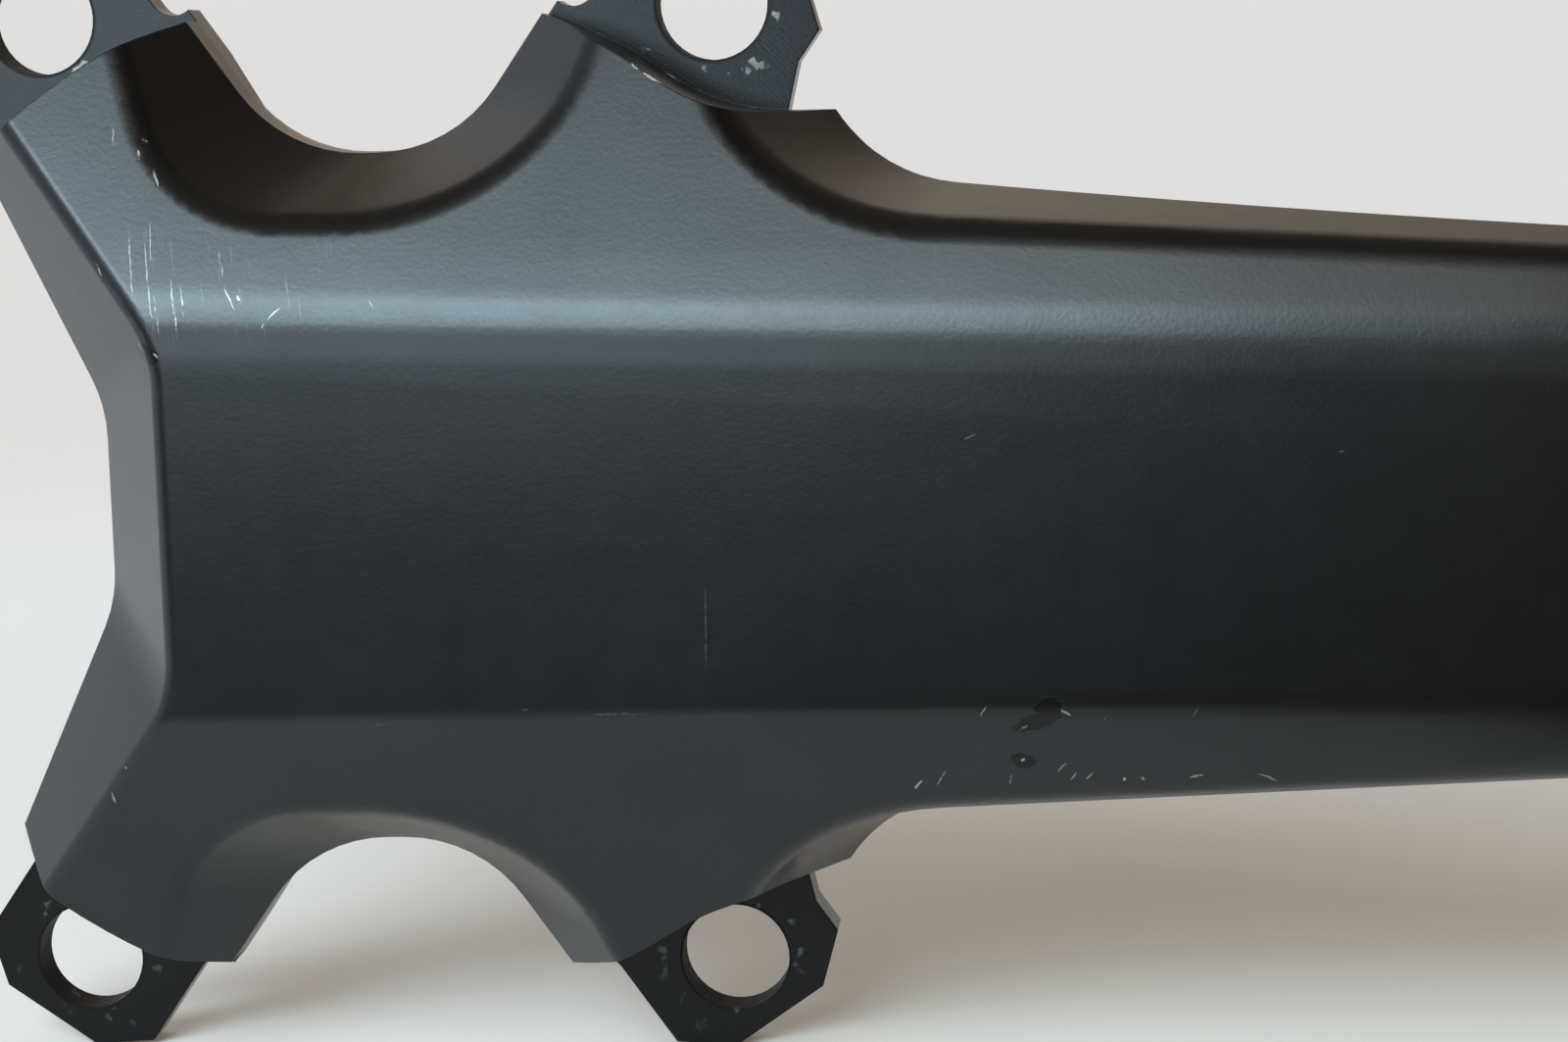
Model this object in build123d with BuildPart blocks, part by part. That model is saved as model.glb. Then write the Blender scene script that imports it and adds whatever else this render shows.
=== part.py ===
from build123d import *
from math import acos, atan2, cos, hypot, radians, sin, sqrt, tan
import os

# Right-hand bicycle crank arm with a four-legged spider and a fixed hollow spindle.
# Millimetres. X runs along the arm to the pedal and Z is up. The outer face looks along -Y and
# the spindle runs to +Y. The origin is on the spindle axis, in the chainring seat plane.
# A "height" below is measured from the seat plane towards the outer face, along -Y.

# Crank
crank_length = 172.5
pedal_thread_diameter = 14.29
pedal_spot_diameter = 21.0
pedal_spot_depth = 0.7

# Chainring seat: a reach or setback is measured from the bolt holes, out or in along the leg
bolt_circle = 110.0
leg_angle = 55.0
bolt_hole_diameter = 10.3
tab_thickness = 4.0
tab_width = 19.2
tab_tip_width = 10.4
tab_tip_reach = 7.1
tab_shoulder_reach = 3.5
seat_wall_setback = 7.6
tab_ramp_setback = 11.0
tab_root_setback = 19.0
tab_foot_setback = 7.7
tab_foot_blend = 2.2
tab_flare_angle = 22.0
seat_half_height = 35.2
seat_blend = 18.0

# Forging: offsets and half heights are at the rim, and the draft leans each wall in above it.
# Behind the rim the flares and the arm keep their draft, and the other walls are straight.
# An offset is measured from the axle, and the flare wall's reach from the bolt holes.
rim_height = 4.0
crest_height = 32.0
hub_left = 25.9
hub_left_draft = 30.5
hub_half_height = 32.2
hub_draft = 23.0
leg_notch_offset = 12.0
left_leg_draft = 39.0
right_leg_draft = 36.0
left_wall_offset = 19.6
left_wall_bearing = 205.0
left_wall_draft = 35.0
flare_wall_reach = 4.35
flare_wall_bearing = 20.0
flare_wall_draft = 33.0
arm_root_half_height = 29.9
arm_root_inset = 2.5
block_overlap = 2.0
pedal_end_radius = 22.4
arm_draft = 9.0

# Outer face: a flat panel that rises towards the pedal, with a slope on each side
panel_height = 20.2
panel_rise = 3.0
panel_half_height = 17.8
panel_taper = 1.45
slope_angle = 20.0

# Blends: the corners of a notch take shares of its width, at the rim and higher up at the crest
notch_rim_share = 0.45
notch_crest_share_left = 0.28
notch_crest_share_right = 0.55
left_blend = 15.0
flare_back_blend = 14.0
flare_crest_blend = 40.0
upper_panel_blend = 20.0
lower_panel_blend = 8.0
ridge_blend = 4.0
left_ridge_blend = 2.0
back_chamfer = 1.0

# Back of the arm: it starts to rise a lead past the bend of the seat wall
spider_back = 1.0
arm_back_lead = 3.95
arm_back_middle = 90.0
arm_back_middle_height = 10.6
arm_back_end_height = 15.0
arm_back_bend = 30.0
hub_boss_diameter = 34.0
hub_boss_height = 1.0

# Hollow of the arm and the plate bonded over it
front_wall = 3.5
hollow_start = 24.0
hollow_end = 150.0
hollow_root_half_height = 23.5
hollow_end_half_height = 16.0
hollow_corner = 6.0
cover_thickness = 2.2
cover_ledge = 1.6
bond_gap = 0.1

# Spindle
spindle_diameter = 24.0
spindle_bore = 20.4
spindle_seat_diameter = 23.0
spindle_seat_length = 14.0
spindle_fit_gap = 0.02
spindle_end_gap = 0.5
spindle_reach = 112.0
spindle_chamfer = 0.6
spline_length = 21.0
spline_count = 24
spline_tip_diameter = 23.0
spline_root_diameter = 21.8
spline_width = 1.43
wide_spline_count = 2
wide_spline_width = 4.3
cap_thread_diameter = 19.0
cap_thread_length = 12.0

# Slack in picking faces and edges: a length, and the cosine of the steepest outer or back face
pick_slack = 0.5
pick_facing = 0.85

os.makedirs("parts", exist_ok=True)

bolt_radius = bolt_circle / 2
leg_reach = bolt_radius + 2 * pick_slack
seat_radius = bolt_radius - seat_wall_setback
seat_bend_end = sqrt((seat_radius + seat_blend) ** 2 - (seat_half_height + seat_blend) ** 2)
arm_back_start = seat_bend_end + arm_back_lead
hub_face = spider_back + hub_boss_height
leg_cos = cos(radians(leg_angle))
leg_sin = sin(radians(leg_angle))
arm_root = arm_root_half_height * leg_cos / leg_sin + arm_root_inset
flare_wall_offset = bolt_radius * cos(radians(leg_angle - flare_wall_bearing)) + flare_wall_reach
root_span = hypot(crank_length - arm_root, arm_root_half_height)
end_turn = atan2(arm_root_half_height, arm_root - crank_length) - acos(pedal_end_radius / root_span)
panel_height_at_pedal = panel_height + crank_length * tan(radians(panel_rise))

seat_plane = Plane.XZ
rim_plane = Plane.XZ.offset(rim_height)
crest_plane = Plane.XZ.offset(crest_height)
back_plane = Plane.XZ.offset(-spider_back)
hub_plane = Plane.XZ.offset(-hub_face)
panel_lean = radians(panel_rise)
panel_plane = Plane(
    origin=(0, -panel_height, 0),
    x_dir=(cos(panel_lean), -sin(panel_lean), 0),
    z_dir=(-sin(panel_lean), -cos(panel_lean), 0),
)


def slope_plane(side):
    """Plane of the upper (+1) or lower (-1) slope, hinged on the edge of the panel."""
    taper = radians(panel_taper)
    tilt = radians(slope_angle)
    along = panel_plane.x_dir * cos(taper) - panel_plane.y_dir * (side * sin(taper))
    across = panel_plane.x_dir * sin(taper) + panel_plane.y_dir * (side * cos(taper))
    return Plane(
        origin=panel_plane.from_local_coords((0, side * panel_half_height, 0)),
        x_dir=along,
        z_dir=panel_plane.z_dir * cos(tilt) + across * sin(tilt),
    )


outer_planes = [panel_plane, slope_plane(1), slope_plane(-1)]


def wall(offset, bearing, draft):
    """Plane of a forged wall: at an offset from the axle on its bearing, leaning in above the rim."""
    out_x = cos(radians(bearing))
    out_z = sin(radians(bearing))
    lean = radians(draft)
    return Plane(
        origin=(offset * out_x, -rim_height, offset * out_z),
        x_dir=(-out_z, 0, out_x),
        z_dir=(out_x * cos(lean), -sin(lean), out_z * cos(lean)),
    )


def hollow_outline(margin=0.0):
    """Outline of the hollow in the arm, grown by a margin."""
    with BuildSketch() as outline:
        Polygon(
            (hollow_start, -hollow_root_half_height),
            (hollow_end, -hollow_end_half_height),
            (hollow_end, hollow_end_half_height),
            (hollow_start, hollow_root_half_height),
            align=None,
        )
        fillet(outline.vertices(), hollow_corner)
        offset(amount=margin)
    return outline.sketch


def behind_arm(depth=0.0):
    """Side view of the space behind the arm, reaching a depth into it."""
    start = (arm_back_start, spider_back - depth)
    middle = (arm_back_middle, -arm_back_middle_height - depth)
    pedal = (crank_length, -arm_back_end_height - depth)
    far_x = crank_length + 2 * pedal_end_radius
    near_x = -2 * seat_radius
    with BuildSketch() as space:
        with BuildLine():
            ThreePointArc(start, middle, pedal)
            Polyline(
                pedal,
                (far_x, pedal[1]),
                (far_x, crest_height),
                (near_x, crest_height),
                (near_x, start[1]),
                start,
            )
        make_face()
        fillet(space.vertices().sort_by_distance(start)[0], arm_back_bend)
    return space.sketch


def outer_faces(part):
    """Faces that look outwards: the panel, the slopes and the blends between them."""
    return part.faces().filter_by(lambda face: face.normal_at().Y < -pick_facing)


def shared_edges(faces):
    """Edges that two of the faces share."""
    edges = faces.edges()
    return ShapeList(edge for edge in set(edges) if edges.count(edge) > 1)


def border_edges(faces):
    """Edges that belong to one of the faces alone."""
    edges = faces.edges()
    return ShapeList(edge for edge in edges if edges.count(edge) == 1)


def left_of_legs(edge):
    """Whether an edge lies between the two left legs."""
    return edge.center().X * leg_sin < -abs(edge.center().Z) * leg_cos


def at_leg_end(edge):
    """Whether an edge lies at the blunt end of a leg's block, beyond the seat wall."""
    along_leg = abs(edge.center().X) * leg_cos + abs(edge.center().Z) * leg_sin
    return along_leg > leg_reach - pick_slack and abs(edge.center().Z) > abs(edge.center().X)


def notch_outline(height, left_share, right_share):
    """Outline of the upper notch at a height, between the hub's wall and the walls of the legs."""
    climb = height - rim_height
    bottom = hub_half_height - climb * tan(radians(hub_draft))
    left_offset = leg_notch_offset - climb * tan(radians(left_leg_draft))
    right_offset = leg_notch_offset - climb * tan(radians(right_leg_draft))
    left = (left_offset - bottom * leg_cos) / leg_sin
    right = (bottom * leg_cos - right_offset) / leg_sin
    mouth_reach = (bolt_circle - bottom) * leg_cos / leg_sin
    widest_blend = (right - left) / tan(radians(leg_angle / 2))
    with BuildSketch() as outline:
        Polygon(
            (left, bottom),
            (right, bottom),
            (right + mouth_reach, bolt_circle),
            (left - mouth_reach, bolt_circle),
            align=None,
        )
        fillet(outline.vertices().sort_by_distance((left, bottom))[0], left_share * widest_blend)
        fillet(outline.vertices().sort_by_distance((right, bottom))[0], right_share * widest_blend)
    return outline.sketch


def crossing(first_offset, first_turn, second_offset, second_turn):
    """Where two lines cross, each given by its offset from the axle and the turn of that offset."""
    spread = sin(second_turn - first_turn)
    x = (first_offset * sin(second_turn) - second_offset * sin(first_turn)) / spread
    z = (second_offset * cos(first_turn) - first_offset * cos(second_turn)) / spread
    return x, z


def bar_outline(height, flare_blend):
    """Outline of the arm and the right legs at a height: the arm's edges run on round the pedal end."""
    climb = height - rim_height
    end_radius = pedal_end_radius - climb * tan(radians(arm_draft))
    arm_offset = crank_length * cos(end_turn) + end_radius
    flare_offset = flare_wall_offset - climb * tan(radians(flare_wall_draft))
    end_x = crank_length + end_radius * cos(end_turn)
    end_z = end_radius * sin(end_turn)
    corner_x, corner_z = crossing(flare_offset, radians(flare_wall_bearing), arm_offset, end_turn)
    leg_x, leg_z = crossing(flare_offset, radians(flare_wall_bearing), leg_reach, radians(leg_angle))
    middle_z = leg_reach / leg_sin
    with BuildSketch() as outline:
        with BuildLine():
            Polyline(
                (end_x, -end_z),
                (corner_x, -corner_z),
                (leg_x, -leg_z),
                (0, -middle_z),
                (0, middle_z),
                (leg_x, leg_z),
                (corner_x, corner_z),
                (end_x, end_z),
            )
            ThreePointArc((end_x, end_z), (crank_length + end_radius, 0), (end_x, -end_z))
        make_face()
        for side in (1, -1):
            fillet(outline.vertices().sort_by_distance((corner_x, side * corner_z))[0], flare_blend)
    return outline.sketch


def tab_outline():
    """Outline of a tab whose leg runs along X: its foot is as wide as the leg on the notch side, +Y."""
    root = bolt_radius - tab_root_setback
    foot = bolt_radius - tab_foot_setback
    shoulder = bolt_radius + tab_shoulder_reach
    tip = bolt_radius + tab_tip_reach
    with BuildSketch() as outline:
        Polygon(
            (root, -tab_width / 2),
            (shoulder, -tab_width / 2),
            (tip, -tab_tip_width / 2),
            (tip, tab_tip_width / 2),
            (shoulder, tab_width / 2),
            (foot, tab_width / 2),
            (foot, leg_notch_offset),
            (root, leg_notch_offset),
            align=None,
        )
        fillet(outline.vertices().sort_by_distance((foot, tab_width / 2))[0], tab_foot_blend)
    return outline.sketch


def tab_flare():
    """Outline that widens a right-hand tab on the arm's side, from the bolt hole in to the foot."""
    foot = bolt_radius - tab_foot_setback
    flare_width = tab_foot_setback * tan(radians(tab_flare_angle))
    with BuildSketch() as outline:
        Polygon(
            (foot, -tab_width / 2 - flare_width),
            (bolt_radius, -tab_width / 2),
            (foot, -tab_width / 2),
            align=None,
        )
    return outline.sketch


# Hub: a block under the panel, with a drafted wall on the left
with BuildPart() as hub:
    with BuildSketch(rim_plane):
        with Locations((-hub_left, 0)):
            Rectangle(
                hub_left + block_overlap,
                2 * hub_half_height,
                align=(Align.MIN, Align.CENTER),
            )
    extrude(amount=crest_height - rim_height)
    split(bisect_by=wall(hub_left, 180, hub_left_draft), keep=Keep.BOTTOM)

# Upper left leg: a block between the middle of the notch and the left wall
with BuildPart() as left_leg:
    with BuildSketch(rim_plane):
        with Locations(Location((0, 0, 0), (0, 0, 180 - leg_angle))):
            Rectangle(2 * leg_reach, 2 * leg_reach)
    extrude(amount=crest_height - rim_height)
    split(bisect_by=wall(left_wall_offset, left_wall_bearing, left_wall_draft), keep=Keep.BOTTOM)
    split(bisect_by=Plane.YZ.offset(block_overlap), keep=Keep.BOTTOM)
    split(bisect_by=Plane.XY, keep=Keep.TOP)

# Upper notch: the space between the legs, whose corners grow rounder towards the crest
notch_at_rim = notch_outline(rim_height, notch_rim_share, notch_rim_share)
notch_at_crest = notch_outline(crest_height, notch_crest_share_left, notch_crest_share_right)
with BuildPart() as notch:
    with BuildSketch(rim_plane):
        add(notch_at_rim)
    extrude(amount=-(rim_height + spider_back))
    with BuildSketch(rim_plane):
        add(notch_at_rim)
    with BuildSketch(crest_plane):
        add(notch_at_crest)
    loft(ruled=True)

# Arm and right legs: a bar with drafted walls, whose flares grow rounder towards the crest
with BuildPart() as bar:
    with BuildSketch(back_plane):
        add(bar_outline(-spider_back, flare_back_blend))
    with BuildSketch(crest_plane):
        add(bar_outline(crest_height, flare_crest_blend))
    loft(ruled=True)

# Hollow of the arm, up to the inside of the outer face
with BuildPart() as hollow:
    with BuildSketch(hub_plane):
        add(hollow_outline())
    extrude(amount=crest_height + hub_face)
    for outer_plane in outer_planes:
        split(bisect_by=outer_plane.offset(-front_wall), keep=Keep.BOTTOM)

# Rebate round the mouth of the hollow, which the cover sits in
with BuildPart() as rebate:
    with BuildSketch(Plane.XY):
        add(behind_arm(cover_thickness))
    extrude(amount=seat_radius, both=True)
    with BuildSketch(hub_plane):
        add(hollow_outline(cover_ledge))
    extrude(amount=crest_height + hub_face, mode=Mode.INTERSECT)

with BuildPart() as crank_arm:
    add(hub.part)
    add(bar.part)
    add(left_leg.part)
    mirror(left_leg.part, about=Plane.XY)
    add(notch.part, mode=Mode.SUBTRACT)
    mirror(notch.part, about=Plane.XY, mode=Mode.SUBTRACT)
    for outer_plane in outer_planes:
        split(bisect_by=outer_plane, keep=Keep.BOTTOM)

    # Blend in the corner where the walls between the left legs meet
    corners = crank_arm.edges().filter_by(lambda edge: edge.is_interior)
    corners = corners.filter_by_position(Axis.Y, -crest_height, -rim_height - pick_slack)
    fillet(corners.filter_by(left_of_legs), left_blend)

    # Soft edges of the outer face: the panel's long edges, then the ridges all round it
    panel_edges = shared_edges(outer_faces(crank_arm))
    fillet(panel_edges.filter_by_position(Axis.Z, 0, seat_radius), upper_panel_blend)
    fillet(panel_edges.filter_by_position(Axis.Z, -seat_radius, 0), lower_panel_blend)
    ridges = border_edges(outer_faces(crank_arm)).filter_by(lambda edge: not at_leg_end(edge))
    left_ridges = ridges.filter_by(left_of_legs)
    fillet(ridges - left_ridges, ridge_blend)
    fillet(left_ridges, left_ridge_blend)

    # Straight walls behind the rim, down to the back of the spider
    level_faces = crank_arm.faces().filter_by(Axis.Y)
    rim_faces = level_faces.filter_by_position(Axis.Y, -rim_height - pick_slack, -rim_height + pick_slack)
    extrude(rim_faces, amount=rim_height + spider_back)

    # Seat of the chainrings: the legs stop at a wall round the axle, which runs out along the arm
    with BuildSketch(seat_plane) as seat:
        Circle(seat_radius)
        Rectangle(
            crank_length + 2 * pedal_end_radius,
            2 * seat_half_height,
            align=(Align.MIN, Align.CENTER),
        )
        fillet(seat.vertices().group_by(Axis.X)[0], seat_blend)
    extrude(amount=crest_height, both=True, mode=Mode.INTERSECT)

    # Back of the arm: it rises from the spider in one long arc, with chamfered edges
    with BuildSketch(Plane.XY):
        add(behind_arm())
    extrude(amount=seat_radius, both=True, mode=Mode.SUBTRACT)
    back_faces = crank_arm.faces().filter_by(lambda face: face.normal_at().Y > pick_facing)
    back_edges = border_edges(back_faces).filter_by(lambda edge: edge.center().X > arm_back_start)
    chamfer(back_edges, back_chamfer)

    # Tabs: thin ends of the legs, with a ramp behind each root
    with BuildSketch(seat_plane):
        add(tab_outline(), rotation=leg_angle)
        add(tab_flare(), rotation=leg_angle)
        add(mirror(tab_outline(), about=Plane.XZ, mode=Mode.PRIVATE), rotation=180 - leg_angle)
        mirror(about=Plane.XZ)
    extrude(amount=-tab_thickness)
    with BuildSketch(Plane.XY):
        Polygon(
            (0, spider_back),
            (bolt_radius - tab_root_setback, spider_back),
            (bolt_radius - tab_ramp_setback, tab_thickness),
            (bolt_radius - tab_ramp_setback, crest_height),
            (0, crest_height),
            align=None,
        )
    revolve(axis=Axis.Y, mode=Mode.SUBTRACT)

    # Bolt holes
    with BuildSketch(seat_plane):
        with GridLocations(bolt_circle * leg_cos, bolt_circle * leg_sin, 2, 2):
            Circle(bolt_hole_diameter / 2)
    extrude(amount=crest_height, both=True, mode=Mode.SUBTRACT)

    # Hub boss and the blind seat of the spindle
    with BuildSketch(hub_plane):
        Circle(hub_boss_diameter / 2)
    extrude(amount=hub_boss_height)
    with BuildSketch(hub_plane):
        Circle(spindle_seat_diameter / 2 + spindle_fit_gap)
    extrude(amount=spindle_seat_length + spindle_end_gap, mode=Mode.SUBTRACT)

    # Pedal eye, with a flat spot on each face
    with BuildSketch(seat_plane.offset(panel_height_at_pedal - pedal_spot_depth)):
        with Locations((crank_length, 0)):
            Circle(pedal_spot_diameter / 2)
    extrude(amount=crest_height, mode=Mode.SUBTRACT)
    with BuildSketch(seat_plane.offset(arm_back_end_height + pedal_spot_depth)):
        with Locations((crank_length, 0)):
            Circle(pedal_spot_diameter / 2)
    extrude(amount=-crest_height, mode=Mode.SUBTRACT)
    with BuildSketch(seat_plane):
        with Locations((crank_length, 0)):
            Circle(pedal_thread_diameter / 2)
    extrude(amount=panel_height_at_pedal, mode=Mode.SUBTRACT)

    add(hollow.part, mode=Mode.SUBTRACT)
    add(rebate.part, mode=Mode.SUBTRACT)
crank_arm.part.label = "crank_arm"
export_step(crank_arm.part, "parts/crank_arm.step")

# Cover: a plate that follows the back of the arm and lies flush with it
with BuildPart() as back_cover:
    with BuildSketch(Plane.XY):
        add(behind_arm(cover_thickness))
        add(behind_arm(), mode=Mode.SUBTRACT)
    extrude(amount=seat_radius, both=True)
    with BuildSketch(hub_plane):
        add(hollow_outline(cover_ledge - bond_gap))
    extrude(amount=crest_height + hub_face, mode=Mode.INTERSECT)
back_cover.part.label = "back_cover"
export_step(back_cover.part, "parts/back_cover.step")

# Spindle: a tube whose shoulder seats on the hub, with splines and a cap thread at the far end
inner_end = hub_face - spindle_seat_length
outer_end = hub_face + spindle_reach
spline_start = outer_end - spline_length
thread_end = outer_end - cap_thread_length
with BuildPart() as spindle:
    with BuildSketch(Plane.XY):
        Polygon(
            (spindle_bore / 2, inner_end),
            (spindle_seat_diameter / 2 - spindle_chamfer, inner_end),
            (spindle_seat_diameter / 2, inner_end + spindle_chamfer),
            (spindle_seat_diameter / 2, hub_face),
            (spindle_diameter / 2, hub_face),
            (spindle_diameter / 2, spline_start),
            (spline_root_diameter / 2, spline_start),
            (spline_root_diameter / 2, outer_end),
            (cap_thread_diameter / 2, outer_end),
            (cap_thread_diameter / 2, thread_end),
            (spindle_bore / 2, thread_end - spindle_chamfer),
            align=None,
        )
    revolve(axis=Axis.Y)
    spline_depth = spline_tip_diameter - spline_root_diameter
    with BuildSketch(seat_plane.offset(-spline_start)):
        with PolarLocations(spline_root_diameter / 2, spline_count):
            Rectangle(spline_depth, spline_width)
        with PolarLocations(spline_root_diameter / 2, wide_spline_count):
            Rectangle(spline_depth, wide_spline_width)
    extrude(amount=-(spline_length - spindle_chamfer))
spindle.part.label = "spindle"
export_step(spindle.part, "parts/spindle.step")
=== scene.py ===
from math import cos, pi, radians, sin

import bpy
from mathutils import Matrix, Vector


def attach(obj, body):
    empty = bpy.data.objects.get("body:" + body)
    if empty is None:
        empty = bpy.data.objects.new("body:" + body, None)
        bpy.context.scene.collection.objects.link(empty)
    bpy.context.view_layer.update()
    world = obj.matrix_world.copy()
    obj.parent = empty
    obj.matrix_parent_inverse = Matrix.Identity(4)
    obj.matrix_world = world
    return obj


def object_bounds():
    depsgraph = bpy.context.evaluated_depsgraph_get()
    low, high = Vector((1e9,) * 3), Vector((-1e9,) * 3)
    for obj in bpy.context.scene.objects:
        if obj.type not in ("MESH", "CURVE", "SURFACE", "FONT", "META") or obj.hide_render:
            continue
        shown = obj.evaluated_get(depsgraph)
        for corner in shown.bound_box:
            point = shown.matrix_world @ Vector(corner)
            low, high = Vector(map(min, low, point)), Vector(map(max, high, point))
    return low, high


# Bicycle crank arm seen nearly square on, standing on its lower tabs. Metres, in the CAD model's frame:
# X along the arm to the pedal, Z up, the outer face towards -Y, the spindle along +Y.

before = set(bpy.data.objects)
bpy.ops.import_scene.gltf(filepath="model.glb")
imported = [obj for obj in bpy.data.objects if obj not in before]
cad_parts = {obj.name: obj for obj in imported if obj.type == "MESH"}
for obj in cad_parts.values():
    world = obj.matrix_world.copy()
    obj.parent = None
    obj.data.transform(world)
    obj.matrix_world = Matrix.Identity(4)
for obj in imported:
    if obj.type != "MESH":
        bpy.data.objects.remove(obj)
cad_low, cad_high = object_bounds()

MM = 0.001

# Camera
CAMERA_TARGET = Vector((37.13, 0, -2.95)) * MM
CAMERA_DISTANCE = 298.3 * MM
CAMERA_YAW = 4.835
CAMERA_PITCH = 8.27
CAMERA_ROLL = -1.307
CAMERA_LENS = 73.13
CAMERA_SENSOR = 36.0
CAMERA_CLIP = 10 * MM

# Stage: fades run between two distances from a point on the floor, in millimetres
FLOOR_HALF_SIZE = 6.0
FLOOR_HEIGHT = cad_low.z
FLOOR_COLOUR = (0.81, 0.80, 0.785)
FLOOR_SHADE = (0.78, 0.77, 0.75)
# Glow of the floor where it is seen: dimmer and warmer near the arm, a painted shade round its shadow
GLOW_NEAR_PAINTED_SHADE = (0.10, 0.085, 0.07)
GLOW_FAR = (0.27, 0.285, 0.32)
BACKGROUND = (0.75, 0.735, 0.725)
FLOOR_ROUGHNESS = 0.7
FLOOR_CLOUD_SCALE = 0.012
FADE_CENTRE = (100, 0, 0)
GLOW_FADE = (120, 420)
BACKGROUND_FADE = (220, 650)

# Light
LAMP_DISTANCE = 1.2
WINDOW = dict(bearing=-22.0, rise=25.5, width=0.80, height=0.2, power=5.8, tint=(0.70, 0.92, 1.0))
SKY = dict(bearing=-22.0, rise=28.5, width=0.90, height=0.54, power=3.8, tint=(0.74, 0.93, 1.0))
SILL = dict(bearing=-20.0, rise=0.5, width=0.7, height=0.24, power=1.9, tint=(0.75, 0.92, 1.0))
FLOOR_LIGHT = dict(bearing=-25.0, rise=40.0, width=0.6, height=0.5, power=7.2, tint=(0.80, 0.93, 1.0))
FILL = dict(bearing=6.0, rise=34.0, width=0.4, height=0.35, power=0.6, tint=(1.0, 0.92, 0.83))
ROOM_DIM = (0.27, 0.225, 0.175)
ROOM_LEFT = (0.74, 0.81, 0.87)
ROOM_RIGHT = (0.11, 0.09, 0.07)
ROOM_BEHIND = (0.66, 0.55, 0.45)

# Fades of the room, by the direction's X, Y and Z
ROOM_LOW_FADE = (0.85, 0.5)
ROOM_LEFT_FADE = (-0.2, -0.8)
ROOM_BEHIND_FADE = (0.2, 0.7)
ROOM_BEHIND_SIDE_FADE = (0.45, -0.2)
ROOM_RIGHT_FADE = (0.0, 0.5)
ROOM_FRONT_FADE = (0.2, -0.2)

# Glow of the card, a painted reflection seen only on the arm
CARD_REFLECTION_LEFT = (0.125, 0.125, 0.13)
CARD_REFLECTION_RIGHT = (0.02, 0.018, 0.016)

# Card: its near edge lies on the floor, as (X, Y), and its far edge is raised, in millimetres
CARD_NEAR_EDGE = ((-600, -160), (20, -95), (130, -42), (600, -42))
CARD_FAR_Y = -500
CARD_FAR_Z = -10
CARD_FADE = (80, 240)

# Finish of the arm, as linear colours
FORGED_DARK = (0.050, 0.052, 0.055)
FORGED_PALE = (0.060, 0.062, 0.065)
# Turned faces: painted shade low on the arm, painted light high on it
MACHINED_PAINTED_SHADE_LOW = (0.018, 0.018, 0.019)
MACHINED_PAINTED_LIGHT_HIGH = (0.038, 0.041, 0.045)
WORN = (0.42, 0.42, 0.41)
SCUFFED = (0.016, 0.016, 0.017)
FORGED_ROUGHNESS = 0.29
MACHINED_ROUGHNESS = 0.24
WORN_ROUGHNESS = 0.38
BORE_ROUGHNESS_ADDED = 0.4
SMEAR_ROUGHNESS = 0.03
GRAIN_TINT = (0.035, 0.036, 0.038)
GRAIN_SHARE = 0.35
ARM_BUMP = 0.010 * MM
SCORE_DEPTH = 1.5
CHIP_DEPTH = 3.0
RING_DENSITY = 5.0
EDGE_ROUNDING = 0.25 * MM
EDGE_SAMPLES = 4
WELD_DISTANCE = 0.001 * MM
SHARP_ANGLE = 22.0
NORMAL_WEIGHT = 50

# Finish of the cover, the spindle and the cut threads
COVER_DARK = (0.038, 0.039, 0.043)
COVER_PALE = (0.052, 0.053, 0.057)
COVER_BRUSHED = (0.075, 0.076, 0.08)
COVER_BRUSH_SHARE = 0.3
COVER_ROUGHNESS = (0.3, 0.44)
COVER_BUMP = 0.006 * MM
STEEL_BRIGHT = (0.56, 0.56, 0.57)
STEEL_DARK = (0.44, 0.44, 0.45)
CUT_BRIGHT = (0.30, 0.30, 0.30)
CUT_DARK = (0.20, 0.20, 0.21)
STEEL_RING_DENSITY = 6.0
STEEL_STAINED = (0.35, 0.7)
STEEL_ROUGHNESS = (0.2, 0.36)
STEEL_BUMP = 0.004 * MM

# Noise of the finish, mostly as waves per millimetre
GRAIN_SCALE = 2.4
CLOUD_SCALE = 0.07
CLOUD_SPREAD = (-0.3, 1.3)
SMEAR_SCALE = 0.35
WOBBLE_SCALE = 0.9
PATCH_SCALE = 1.6
FRAY_SCALE = 1.1
RUB_SCALE = 0.55
COVER_CLOUD_SCALE = 0.09
BRUSH_ALONG = 0.06
BRUSH_ACROSS = 4.0
STAIN_SCALE = 0.12

# Places on the arm, in millimetres
BOLT_ACROSS = 31.55
BOLT_UP = 45.05
BOLT_RADIUS = 5.15
BORE_RIM = (BOLT_RADIUS + 0.35, BOLT_RADIUS + 0.15)
TURNED_FROM = (-0.35, -0.2)
# Height over which the turned faces go from painted shade to painted light
PAINTED_SHADE_TO_LIGHT_UP = (-20, 20)
PEDAL_THREAD = dict(centre_x=172.5, bore_radius=7.145, depth=0.65, pitch=1.27, low=-28.4, high=-15.8)
CAP_THREAD = dict(centre_x=0.0, bore_radius=9.5, depth=0.4, pitch=1.0, low=102.3, high=113.5)
THREAD_STEPS_PER_TURN = 48
THREAD_SINK = 0.04
THREAD_ROOT_SHARE = 0.45
THREAD_CREST_SHARE = 0.06

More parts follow.
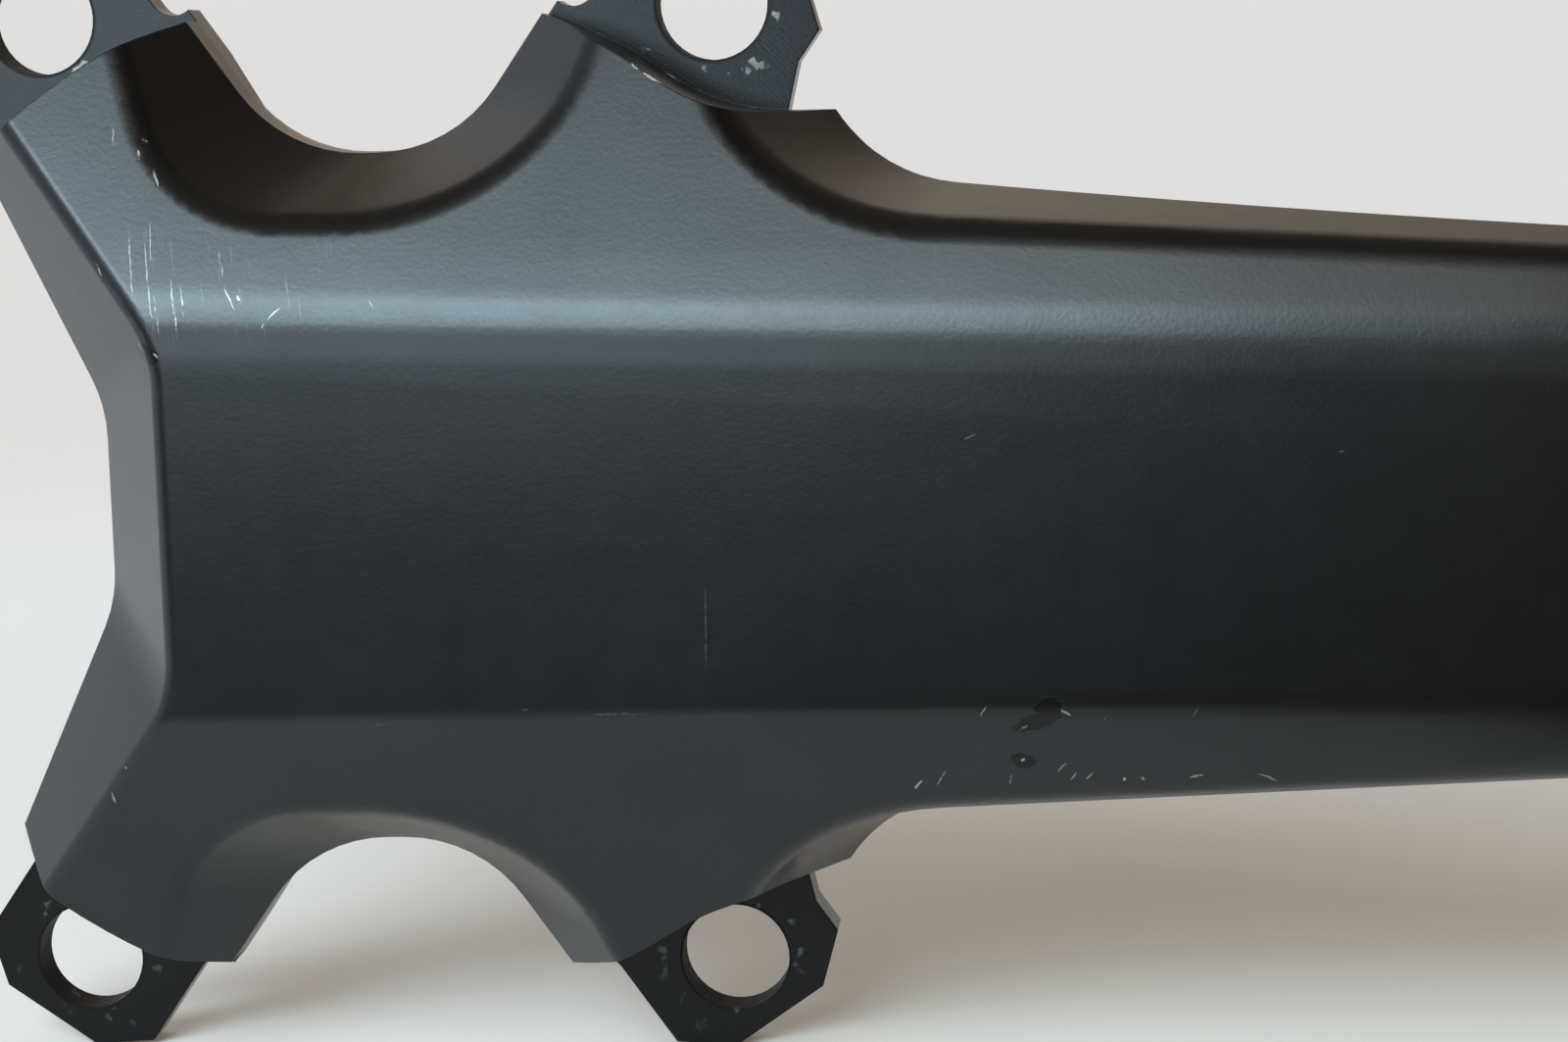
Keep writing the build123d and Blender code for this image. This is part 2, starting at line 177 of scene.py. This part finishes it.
# Wear on the outer face: each mark runs from one (X, Z) to another, in millimetres
FINE_SCRATCHES = (
    ((-19.3, 26.5), (-18.5, 19.1)),
    ((-17.9, 26.1), (-16.6, 16.7)),
    ((-17.4, 26.9), (-17.1, 23.1)),
    ((-16.7, 20.6), (-16.1, 16.7)),
    ((-14.3, 21.4), (-13.9, 18.4)),
    ((-11.0, 24.3), (-10.4, 21.8)),
    ((-21.3, 35.6), (-21.0, 33.4)),
    ((2.8, 19.9), (3.5, 18.8)),
    ((32.0, -4.7), (31.8, -13.4)),
    ((86.3, 6.0), (86.9, 6.2)),
    ((54.7, 7.3), (55.7, 7.8)),
    ((1.6, -18.0), (3.4, -17.9)),
    ((14.8, -16.5), (15.9, -16.5)),
    ((21.2, -16.9), (26.9, -16.8)),
    ((66.3, -17.3), (67.3, -16.1)),
    ((74.0, -16.9), (74.5, -16.0)),
)
DEEP_SCRATCHES = (
    ((-15.2, 22.0), (-14.5, 16.6)),
    ((-10.3, 21.1), (-9.3, 19.0)),
    ((-6.8, 17.5), (-6.4, 18.3)),
    ((-6.4, 18.3), (-5.1, 19.3)),
    ((55.7, -17.0), (56.3, -15.9)),
    ((51.8, -23.6), (52.7, -22.1)),
    ((58.3, -23.5), (58.4, -22.5)),
    ((62.4, -22.2), (63.1, -21.4)),
    ((63.5, -23.0), (64.0, -22.3)),
    ((64.9, -23.0), (65.6, -22.1)),
    ((79.7, -22.3), (81.3, -23.0)),
)
NICKS = (
    ((-18.5, 34.0), (-18.1, 33.8)),
    ((-18.8, 33.1), (-18.7, 32.3)),
    ((-17.4, 31.4), (-16.7, 29.7)),
    ((-9.1, 20.3), (-8.9, 20.0)),
    ((-22.2, 23.2), (-21.8, 22.2)),
    ((-18.4, 16.2), (-18.2, 15.5)),
    ((-16.8, 15.4), (-16.4, 15.1)),
    ((25.7, 39.7), (26.2, 39.3)),
    ((26.8, 38.9), (28.4, 38.0)),
    ((-23.6, -25.0), (-23.3, -25.9)),
    ((-22.0, -22.4), (-21.9, -22.5)),
    ((62.8, -16.3), (63.5, -16.8)),
    ((59.1, -18.2), (59.8, -17.8)),
    ((49.8, -23.9), (50.5, -23.2)),
    ((68.2, -22.8), (68.2, -23.0)),
    ((69.7, -22.7), (69.8, -22.9)),
    ((59.3, -21.1), (59.5, -21.0)),
    ((73.8, -22.7), (74.9, -22.4)),
)
CHIPS = (
    ((59.2, -17.9), (62.4, -16.7)),
    ((61.2, -16.0), (62.2, -15.8)),
    ((59.0, -20.9), (59.9, -21.3)),
    ((-18.0, 15.8), (-17.0, 15.0)),
)
SCRATCH_WIDTH = 0.16
NICK_WIDTH = 0.24
CHIP_WIDTH = 1.5
FINE_STRENGTH = 0.3
DEEP_STRENGTH = 0.7
NICK_STRENGTH = 0.9
CHIP_STRENGTH = 0.55
HAZE_STRENGTH = 0.10
EDGE_STRENGTH = 0.5
RUB_STRENGTH = 0.6

# Rims of the marks, where 1 is a mark's rim and 0 its middle
MARK_FAR = 9.0
SCRATCH_RIM = (1.0, 0.4)
NICK_RIM = (1.0, 0.5)
CHIP_RIM = (1.0, 0.7)
CHIP_FRAY = 1.1
MARK_WOBBLE = 0.35
PATCH_RANGE = (0.3, 0.6)

# Haze of fine rubbing by the band, between soft edges in millimetres, broken into slanting streaks
HAZE_X = ((-22.0, -17.0), (6.0, -6.0))
HAZE_Z = ((15.5, 18.5), (29.0, 20.0))
HAZE_STREAK = (0.58, 0.75)
STREAK_SLANT = 0.5
STREAK_ACROSS = 3.2
STREAK_ALONG = 0.22

# Which way a face looks, how far an edge turns, and how much noise, before it shows wear
OUTWARD = (-0.3, -0.5)
EDGE_TURN = (0.985, 0.9)
EDGE_FLECKS = (0.6, 0.68)
RUB_REACH = (9.0, 6.0)
RUB_FLECKS = (0.61, 0.67)
RUB_LOW_SHARE = 0.25


class Nodes:
    """Adds nodes to one tree and links them."""

    def __init__(self, tree):
        self.tree = tree
        tree.nodes.clear()

    def add(self, kind, inputs=None, **settings):
        node = self.tree.nodes.new(kind)
        for name, value in settings.items():
            setattr(node, name, value)
        for name, value in (inputs or {}).items():
            self.feed(node.inputs[name], value)
        return node

    def feed(self, socket, value):
        if isinstance(value, bpy.types.NodeSocket):
            self.tree.links.new(value, socket)
        else:
            socket.default_value = value

    def math(self, operation, *values, clamp=False):
        node = self.add("ShaderNodeMath", operation=operation, use_clamp=clamp)
        for socket, value in zip(node.inputs, values):
            self.feed(socket, value)
        return node.outputs[0]

    def vector(self, operation, first, second, output="Vector"):
        node = self.add("ShaderNodeVectorMath", operation=operation)
        self.feed(node.inputs[0], first)
        self.feed(node.inputs["Scale" if operation == "SCALE" else 1], second)
        return node.outputs[output]

    def step(self, value, low, high, top=1.0):
        """0 below low, top above high and smooth between."""
        node = self.add(
            "ShaderNodeMapRange",
            {"Value": value, "From Min": low, "From Max": high, "To Max": top},
            interpolation_type="SMOOTHSTEP",
        )
        return node.outputs["Result"]

    def spread(self, value, low, high):
        """A share from 0 to 1, as a value from low to high."""
        node = self.add("ShaderNodeMapRange", {"Value": value, "To Min": low, "To Max": high})
        return node.outputs["Result"]

    def times(self, first, *others):
        """The product of the values."""
        for other in others:
            first = self.math("MULTIPLY", first, other)
        return first

    def most(self, first, *others):
        """The largest of the values."""
        for other in others:
            first = self.math("MAXIMUM", first, other)
        return first

    def within(self, value, rise, fall):
        """1 between two soft edges and 0 outside them."""
        return self.times(self.step(value, *rise), self.step(value, *fall))

    def length(self, x, y, z):
        return self.vector("LENGTH", self.join(x, y, z), (0, 0, 0), "Value")

    def mix(self, share, first, second):
        node = self.add("ShaderNodeMix", data_type="RGBA")
        self.feed(node.inputs["Factor"], share)
        self.feed(node.inputs[6], colour(first))
        self.feed(node.inputs[7], colour(second))
        return node.outputs[2]

    def noise(self, place, scale, detail=2.0, output="Fac"):
        node = self.add("ShaderNodeTexNoise", {"Vector": place, "Scale": scale, "Detail": detail})
        return node.outputs[output]

    def place(self):
        """Where a point is in the frame of the CAD model, in millimetres."""
        coords = self.add("ShaderNodeTexCoord").outputs["Object"]
        return self.vector("SCALE", coords, 1 / MM)

    def split(self, vector):
        return self.add("ShaderNodeSeparateXYZ", {"Vector": vector}).outputs

    def join(self, x, y, z):
        return self.add("ShaderNodeCombineXYZ", {"X": x, "Y": y, "Z": z}).outputs[0]


def colour(value):
    return (*value, 1.0) if isinstance(value, tuple) and len(value) == 3 else value


def new_material(name):
    material = bpy.data.materials.new(name)
    material.use_nodes = True
    return material, Nodes(material.node_tree)


def make_camera():
    turn = (
        Matrix.Rotation(radians(CAMERA_YAW), 4, "Z")
        @ Matrix.Rotation(radians(90 - CAMERA_PITCH), 4, "X")
        @ Matrix.Rotation(radians(CAMERA_ROLL), 4, "Z")
    )
    data = bpy.data.cameras.new("camera")
    data.lens = CAMERA_LENS
    data.sensor_width = CAMERA_SENSOR
    data.sensor_fit = "HORIZONTAL"
    data.clip_start = CAMERA_CLIP
    camera = bpy.data.objects.new("camera", data)
    back = Matrix.Translation((0, 0, CAMERA_DISTANCE))
    camera.matrix_world = Matrix.Translation(CAMERA_TARGET) @ turn @ back
    bpy.context.scene.collection.objects.link(camera)
    bpy.context.scene.camera = camera


def make_floor():
    """A pale floor that glows a little where it is seen, less and warmer near the arm as a painted shade
    round its shadow, and fades into the background far away.
    """
    mesh = bpy.data.meshes.new("floor")
    half = FLOOR_HALF_SIZE
    square = ((-half, -half), (half, -half), (half, half), (-half, half))
    corners = [(x, y, FLOOR_HEIGHT) for x, y in square]
    mesh.from_pydata(corners, [], [(0, 1, 2, 3)])
    floor = bpy.data.objects.new("floor", mesh)
    bpy.context.scene.collection.objects.link(floor)
    material, nodes = new_material("floor")
    place = nodes.place()
    tint = nodes.mix(nodes.noise(place, FLOOR_CLOUD_SCALE, 4.0), FLOOR_SHADE, FLOOR_COLOUR)
    away = nodes.vector("DISTANCE", place, FADE_CENTRE, "Value")
    # Painted shade: the glow is dimmer and warmer near the arm, where its shadow falls
    glow_with_painted_shade = nodes.mix(nodes.step(away, *GLOW_FADE), GLOW_NEAR_PAINTED_SHADE, GLOW_FAR)
    path = nodes.add("ShaderNodeLightPath").outputs
    seen = nodes.most(path["Is Camera Ray"], path["Is Glossy Ray"], path["Is Transmission Ray"])
    shader = nodes.add(
        "ShaderNodeBsdfPrincipled",
        {"Roughness": FLOOR_ROUGHNESS, "Base Color": tint, "Emission Color": glow_with_painted_shade, "Emission Strength": seen},
    )
    far = nodes.step(away, *BACKGROUND_FADE)
    far = nodes.times(far, path["Is Camera Ray"])
    backdrop = nodes.add("ShaderNodeEmission", {"Color": colour(BACKGROUND)})
    surface = nodes.add("ShaderNodeMixShader", {0: far, 1: shader.outputs[0], 2: backdrop.outputs[0]})
    nodes.add("ShaderNodeOutputMaterial", {"Surface": surface.outputs[0]})
    mesh.materials.append(material)
    return floor


def make_lamp(name, bearing, rise, width, height, power, tint):
    """A soft lamp facing the origin, so many degrees right of the front and above level, unseen itself."""
    data = bpy.data.lights.new(name, "AREA")
    data.shape = "RECTANGLE"
    data.size = width
    data.size_y = height
    data.energy = power
    data.color = tint
    lamp = bpy.data.objects.new(name, data)
    turn = Matrix.Rotation(radians(bearing), 4, "Z") @ Matrix.Rotation(radians(90 - rise), 4, "X")
    lamp.matrix_world = turn @ Matrix.Translation((0, 0, LAMP_DISTANCE))
    lamp.visible_camera = False
    bpy.context.scene.collection.objects.link(lamp)
    return lamp


def make_card():
    """A dimly glowing card in front of the arm, seen only in its reflections: a painted reflection, darker to
    the right.
    """
    mesh = bpy.data.meshes.new("card")
    low = [(x * MM, y * MM, FLOOR_HEIGHT) for x, y in CARD_NEAR_EDGE]
    high = [(x * MM, CARD_FAR_Y * MM, CARD_FAR_Z * MM) for x, y in CARD_NEAR_EDGE]
    mesh.from_pydata(low + high, [], [(0, 1, 5, 4), (1, 2, 6, 5), (2, 3, 7, 6)])
    card = bpy.data.objects.new("card", mesh)
    bpy.context.scene.collection.objects.link(card)
    card.visible_camera = False
    card.visible_diffuse = False
    card.visible_shadow = False
    material, nodes = new_material("card")
    x = nodes.split(nodes.place())[0]
    # Painted reflection: a dim glow, darker to the right
    shade = nodes.mix(nodes.step(x, *CARD_FADE), CARD_REFLECTION_LEFT, CARD_REFLECTION_RIGHT)
    shader = nodes.add("ShaderNodeEmission", {"Color": shade})
    nodes.add("ShaderNodeOutputMaterial", {"Surface": shader.outputs[0]})
    mesh.materials.append(material)


def make_room():
    """Dim all round, bright on the left and behind, darkest at front right. The camera sees it plain."""
    world = bpy.data.worlds.new("room")
    world.use_nodes = True
    bpy.context.scene.world = world
    nodes = Nodes(world.node_tree)
    across, along, up = nodes.split(nodes.add("ShaderNodeTexCoord").outputs["Generated"])
    low = nodes.step(up, *ROOM_LOW_FADE)
    left = nodes.times(nodes.step(across, *ROOM_LEFT_FADE), low)
    behind = nodes.times(nodes.step(along, *ROOM_BEHIND_FADE), low)
    behind = nodes.times(behind, nodes.step(across, *ROOM_BEHIND_SIDE_FADE))
    light = nodes.mix(behind, ROOM_DIM, ROOM_BEHIND)
    light = nodes.mix(left, light, ROOM_LEFT)
    right = nodes.times(nodes.step(across, *ROOM_RIGHT_FADE), nodes.step(along, *ROOM_FRONT_FADE))
    light = nodes.mix(right, light, ROOM_RIGHT)
    path = nodes.add("ShaderNodeLightPath").outputs
    seen = nodes.mix(path["Is Camera Ray"], light, BACKGROUND)
    shader = nodes.add("ShaderNodeBackground", {"Color": seen})
    nodes.add("ShaderNodeOutputWorld", {"Surface": shader.outputs[0]})


def marks(nodes, spot, strokes, width):
    """How far a spot, as (X, 1, Z), is from the nearest stroke: 0 in its middle, 1 at its rim."""
    nearest = MARK_FAR
    for start, end in strokes:
        middle = (Vector(start) + Vector(end)) / 2
        run = Vector(end) - Vector(start)
        along = run.normalized() * 2 / (run.length + width)
        across = run.orthogonal().normalized() * 2 / width
        lengthwise = nodes.vector("DOT_PRODUCT", spot, (along.x, -along.dot(middle), along.y), "Value")
        sideways = nodes.vector("DOT_PRODUCT", spot, (across.x, -across.dot(middle), across.y), "Value")
        reach = nodes.math("MULTIPLY", sideways, sideways)
        reach = nodes.math("MULTIPLY_ADD", lengthwise, lengthwise, reach)
        nearest = nodes.math("MINIMUM", nearest, reach)
    return nearest


def metal(nodes, tint, rough, height, bump_height, normal=None):
    """Metal of a tint and roughness, with a fine relief."""
    relief = {"Height": height, "Strength": 1.0, "Distance": bump_height}
    if normal is not None:
        relief["Normal"] = normal
    bump = nodes.add("ShaderNodeBump", relief).outputs[0]
    shader = nodes.add(
        "ShaderNodeBsdfPrincipled",
        {"Metallic": 1.0, "Base Color": tint, "Roughness": rough, "Normal": bump},
    )
    nodes.add("ShaderNodeOutputMaterial", {"Surface": shader.outputs[0]})


def scoring(nodes, place, outward):
    """Bright scratches, nicks and haze, and dark chips, on faces that look outward."""
    x, y, z = nodes.split(place)
    wobble = nodes.noise(place, WOBBLE_SCALE, output="Color")
    wobble = nodes.vector("SUBTRACT", wobble, (0.5, 0.5, 0.5))
    shaken = nodes.split(nodes.vector("ADD", place, nodes.vector("SCALE", wobble, MARK_WOBBLE)))
    spot = nodes.join(shaken[0], 1.0, shaken[2])
    fine = nodes.step(marks(nodes, spot, FINE_SCRATCHES, SCRATCH_WIDTH), *SCRATCH_RIM, FINE_STRENGTH)
    deep = nodes.step(marks(nodes, spot, DEEP_SCRATCHES, SCRATCH_WIDTH), *SCRATCH_RIM, DEEP_STRENGTH)
    nicked = nodes.step(marks(nodes, spot, NICKS, NICK_WIDTH), *NICK_RIM, NICK_STRENGTH)
    patchy = nodes.step(nodes.noise(place, PATCH_SCALE), *PATCH_RANGE)
    scored = nodes.times(nodes.most(fine, deep, nicked), patchy, outward)

    fray = nodes.spread(nodes.noise(place, FRAY_SCALE, 3.0), -CHIP_FRAY, CHIP_FRAY)
    ragged = nodes.math("ADD", marks(nodes, spot, CHIPS, CHIP_WIDTH), fray)
    chipped = nodes.times(nodes.step(ragged, *CHIP_RIM, CHIP_STRENGTH), outward)

    slanted = nodes.math("MULTIPLY_ADD", z, STREAK_SLANT, nodes.times(x, STREAK_ACROSS))
    streak = nodes.noise(nodes.join(slanted, 0.0, nodes.times(z, STREAK_ALONG)), 1.0)
    streak = nodes.step(streak, *HAZE_STREAK, HAZE_STRENGTH)
    hazy = nodes.times(nodes.within(x, *HAZE_X), nodes.within(z, *HAZE_Z), streak, outward)
    return nodes.most(scored, hazy), chipped


def anodised_arm():
    """Bead-blasted dark anodising, finely turned at the tabs and the back, with the wear of use. The turned
    faces carry painted shade low down and painted light high up.
    """
    material, nodes = new_material("anodised_arm")
    place = nodes.place()
    x, y, z = nodes.split(place)
    grain = nodes.noise(place, GRAIN_SCALE)
    cloud = nodes.noise(place, CLOUD_SCALE, 3.0)
    smear = nodes.noise(place, SMEAR_SCALE, 3.0)
    # Painted light by height: 0 where the lower tabs are shaded, 1 where the upper tabs are lit
    up = nodes.step(z, *PAINTED_SHADE_TO_LIGHT_UP)

    # Turned faces of the tabs and the back
    machined = nodes.step(y, *TURNED_FROM)
    radius = nodes.length(x, 0.0, z)
    rings = nodes.join(nodes.times(radius, RING_DENSITY), 0.0, nodes.times(y, RING_DENSITY))
    rings = nodes.noise(rings, 1.0)

    rounded = nodes.add("ShaderNodeBevel", {"Radius": EDGE_ROUNDING}, samples=EDGE_SAMPLES).outputs[0]
    flat = nodes.add("ShaderNodeNewGeometry").outputs["Normal"]
    outward = nodes.step(nodes.split(flat)[1], *OUTWARD)
    scored, chipped = scoring(nodes, place, outward)

    # Sparse flecks on sharp edges, and pale spots round the bolt holes, fainter on the lower tabs
    turn = nodes.vector("DOT_PRODUCT", rounded, flat, "Value")
    edge = nodes.times(nodes.step(turn, *EDGE_TURN), nodes.step(smear, *EDGE_FLECKS), EDGE_STRENGTH)
    across = nodes.math("SUBTRACT", nodes.math("ABSOLUTE", x), BOLT_ACROSS)
    upward = nodes.math("SUBTRACT", nodes.math("ABSOLUTE", z), BOLT_UP)
    reach = nodes.length(across, 0.0, upward)
    rubbed = nodes.times(nodes.step(reach, *RUB_REACH), machined, nodes.spread(up, RUB_LOW_SHARE, 1.0))
    rubbed = nodes.times(rubbed, nodes.step(nodes.noise(place, RUB_SCALE, 4.0), *RUB_FLECKS), RUB_STRENGTH)
    worn = nodes.most(scored, edge, rubbed)

    tint = nodes.mix(nodes.spread(cloud, *CLOUD_SPREAD), FORGED_DARK, FORGED_PALE)
    # Turned faces, in painted shade low down and painted light high up
    tint = nodes.mix(machined, tint, nodes.mix(up, MACHINED_PAINTED_SHADE_LOW, MACHINED_PAINTED_LIGHT_HIGH))
    tint = nodes.mix(nodes.times(grain, GRAIN_SHARE), tint, GRAIN_TINT)
    tint = nodes.mix(chipped, tint, SCUFFED)
    tint = nodes.mix(worn, tint, WORN)

    # The bolt holes' walls are rougher, and so is worn metal
    rough = nodes.spread(machined, FORGED_ROUGHNESS, MACHINED_ROUGHNESS)
    rough = nodes.math("ADD", rough, nodes.spread(smear, -SMEAR_ROUGHNESS, SMEAR_ROUGHNESS))
    rough = nodes.math("MULTIPLY_ADD", nodes.step(reach, *BORE_RIM), BORE_ROUGHNESS_ADDED, rough)
    rough = nodes.math("ADD", rough, nodes.times(worn, WORN_ROUGHNESS - FORGED_ROUGHNESS))

    height = nodes.math("SUBTRACT", grain, nodes.times(scored, SCORE_DEPTH))
    height = nodes.math("SUBTRACT", height, nodes.times(chipped, CHIP_DEPTH))
    height = nodes.math("ADD", height, nodes.times(rings, machined))
    metal(nodes, tint, rough, height, ARM_BUMP, rounded)
    return material


def anodised_cover():
    """Dark anodised plate, brushed along the arm."""
    material, nodes = new_material("anodised_cover")
    place = nodes.place()
    x, y, z = nodes.split(place)
    brush = nodes.noise(nodes.join(nodes.times(x, BRUSH_ALONG), y, nodes.times(z, BRUSH_ACROSS)), 1.0, 3.0)
    cloud = nodes.noise(place, COVER_CLOUD_SCALE, 3.0)
    tint = nodes.mix(cloud, COVER_DARK, COVER_PALE)
    tint = nodes.mix(nodes.times(brush, COVER_BRUSH_SHARE), tint, COVER_BRUSHED)
    metal(nodes, tint, nodes.spread(brush, *COVER_ROUGHNESS), brush, COVER_BUMP)
    return material


def ground_metal(name, bright, dark):
    """Metal ground round the Y axis, with fine rings and faint stains."""
    material, nodes = new_material(name)
    place = nodes.place()
    x, y, z = nodes.split(place)
    radius = nodes.length(x, 0.0, z)
    rings = nodes.join(nodes.times(radius, STEEL_RING_DENSITY), nodes.times(y, STEEL_RING_DENSITY), 0.0)
    rings = nodes.noise(rings, 1.0, 3.0)
    stain = nodes.noise(place, STAIN_SCALE, 4.0)
    tint = nodes.mix(nodes.step(stain, *STEEL_STAINED), bright, dark)
    metal(nodes, tint, nodes.spread(rings, *STEEL_ROUGHNESS), rings, STEEL_BUMP)
    return material


def make_shading():
    """Joins the faces' rims, shades blends smoothly and keeps true edges sharp."""
    group = bpy.data.node_groups.new("shading", "GeometryNodeTree")
    group.interface.new_socket("Geometry", in_out="INPUT", socket_type="NodeSocketGeometry")
    group.interface.new_socket("Geometry", in_out="OUTPUT", socket_type="NodeSocketGeometry")
    nodes = Nodes(group)
    mesh = nodes.add("NodeGroupInput").outputs[0]
    weld = {"Geometry": mesh, "Distance": WELD_DISTANCE}
    mesh = nodes.add("GeometryNodeMergeByDistance", weld).outputs[0]
    smooth = {0: mesh, "Shade Smooth": True}
    mesh = nodes.add("GeometryNodeSetShadeSmooth", smooth, domain="FACE").outputs[0]
    angle = nodes.add("GeometryNodeInputMeshEdgeAngle").outputs["Unsigned Angle"]
    sharp = nodes.math("GREATER_THAN", angle, radians(SHARP_ANGLE))
    crisp = {0: mesh, "Selection": sharp, "Shade Smooth": False}
    mesh = nodes.add("GeometryNodeSetShadeSmooth", crisp, domain="EDGE").outputs[0]
    nodes.add("NodeGroupOutput", {0: mesh})
    return group


def dress(node, material, shading):
    """Gives a CAD piece its material and smooth blends. Its shape stays."""
    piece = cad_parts[node]
    piece.data.materials.clear()
    piece.data.materials.append(material)
    piece.modifiers.new("shading", "NODES").node_group = shading
    normals = piece.modifiers.new("normals", "WEIGHTED_NORMAL")
    normals.mode = "FACE_AREA_WITH_ANGLE"
    normals.weight = NORMAL_WEIGHT
    normals.keep_sharp = True


def make_thread(name, material, slot, centre_x, bore_radius, depth, pitch, low, high):
    """A helical ridge with a narrow flat crest on the wall of a bore along Y, all in millimetres."""
    turns = (high - low - pitch) / pitch
    count = int(turns * THREAD_STEPS_PER_TURN)
    outer = bore_radius + THREAD_SINK
    inner = bore_radius - depth
    root = pitch * THREAD_ROOT_SHARE
    crest = pitch * THREAD_CREST_SHARE
    points = []
    faces = []
    for step in range(count + 1):
        angle = 2 * pi * step / THREAD_STEPS_PER_TURN
        middle = low + pitch / 2 + pitch * step / THREAD_STEPS_PER_TURN
        section = (
            (outer, middle - root),
            (inner, middle - crest),
            (inner, middle + crest),
            (outer, middle + root),
        )
        for radius, y in section:
            points.append(Vector((centre_x + radius * cos(angle), y, radius * sin(angle))) * MM)
    size = len(section)
    for step in range(count):
        for corner in range(size):
            here = step * size + corner
            following = step * size + (corner + 1) % size
            faces.append((here, following, following + size, here + size))
    faces.append(tuple(reversed(range(size))))
    faces.append(tuple(count * size + corner for corner in range(size)))
    mesh = bpy.data.meshes.new(name)
    mesh.from_pydata(points, [], faces)
    mesh.update()
    mesh.materials.append(material)
    piece = bpy.data.objects.new(name, mesh)
    bpy.context.scene.collection.objects.link(piece)
    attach(piece, "root")


make_camera()
floor = make_floor()
make_lamp("window", **WINDOW)
make_lamp("sky", **SKY)
make_lamp("sill", **SILL)
make_lamp("fill", **FILL)
floor_only = bpy.data.collections.new("floor_only")
floor_only.objects.link(floor)
make_lamp("floor_light", **FLOOR_LIGHT).light_linking.receiver_collection = floor_only
make_card()
make_room()
shading = make_shading()
steel = ground_metal("spindle_steel", STEEL_BRIGHT, STEEL_DARK)
cut_metal = ground_metal("cut_thread", CUT_BRIGHT, CUT_DARK)
dress("crank_arm", anodised_arm(), shading)
dress("back_cover", anodised_cover(), shading)
dress("spindle", steel, shading)
make_thread("pedal_thread", cut_metal, "anodised_aluminium", **PEDAL_THREAD)
make_thread("cap_thread", steel, "spindle_steel", **CAP_THREAD)

bpy.context.scene.view_settings.view_transform = "Standard"
